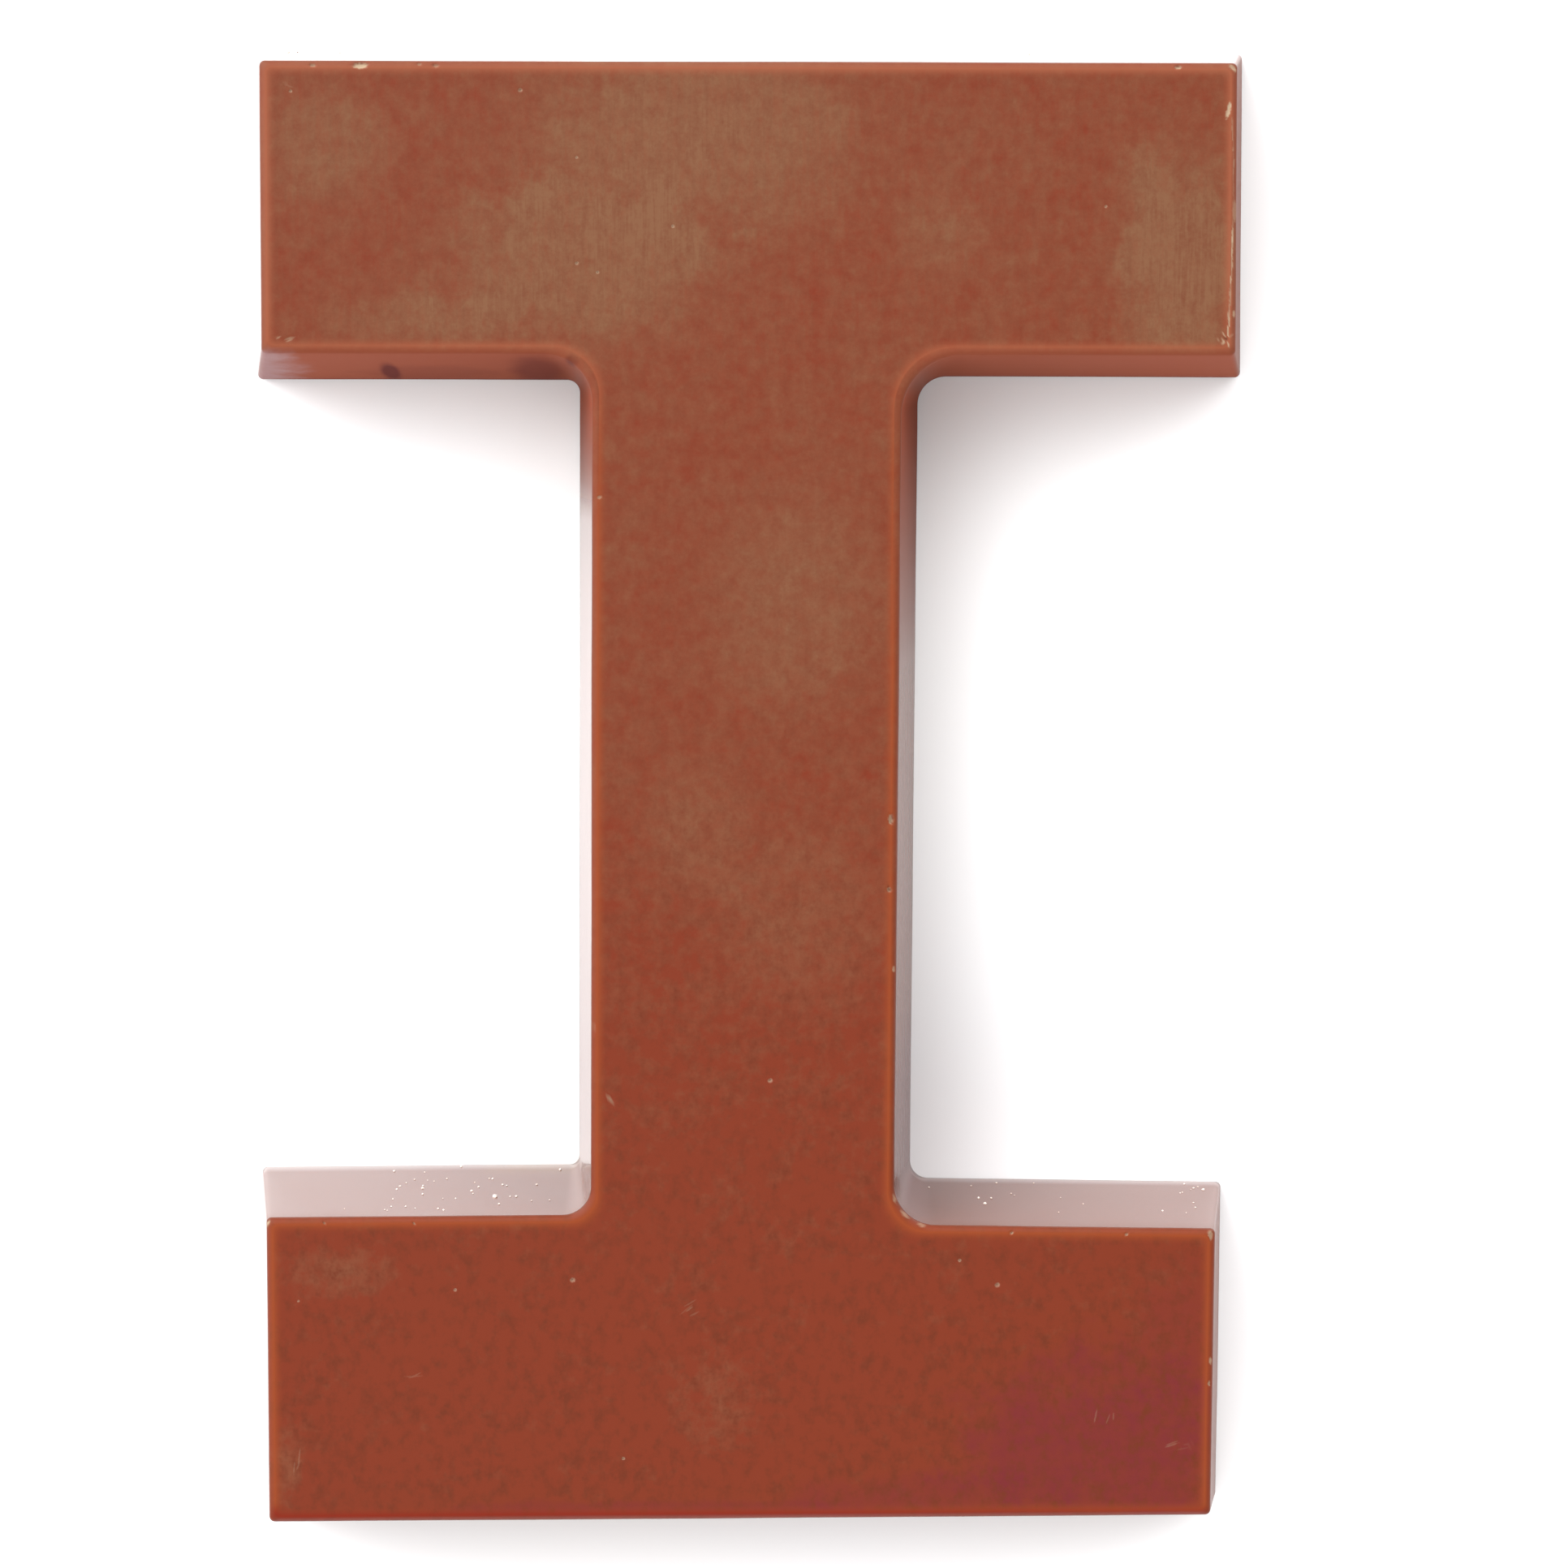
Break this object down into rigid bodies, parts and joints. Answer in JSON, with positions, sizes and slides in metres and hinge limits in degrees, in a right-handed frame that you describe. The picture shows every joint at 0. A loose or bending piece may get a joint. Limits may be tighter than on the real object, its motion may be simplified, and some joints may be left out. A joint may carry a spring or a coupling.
{
  "type": "chocolate letter",
  "caption": "Moulded milk chocolate letter: a thick slab-serif capital I with rounded face edges and walls that lean out to its flat back.",
  "frame": {"origin": "middle of the flat poured back, which the letter lies on", "axes": "+X to the letter's right as it is read, +Y to its top, +Z out of its moulded face"},
  "size_m": [0.0692, 0.1034, 0.012],
  "materials": {
    "milk_chocolate": "satin milk chocolate as it comes out of a smooth mould, with paler rounded edges"
  },
  "bodies": {
    "root": {"letter": "milk_chocolate"}
  },
  "joints": []
}
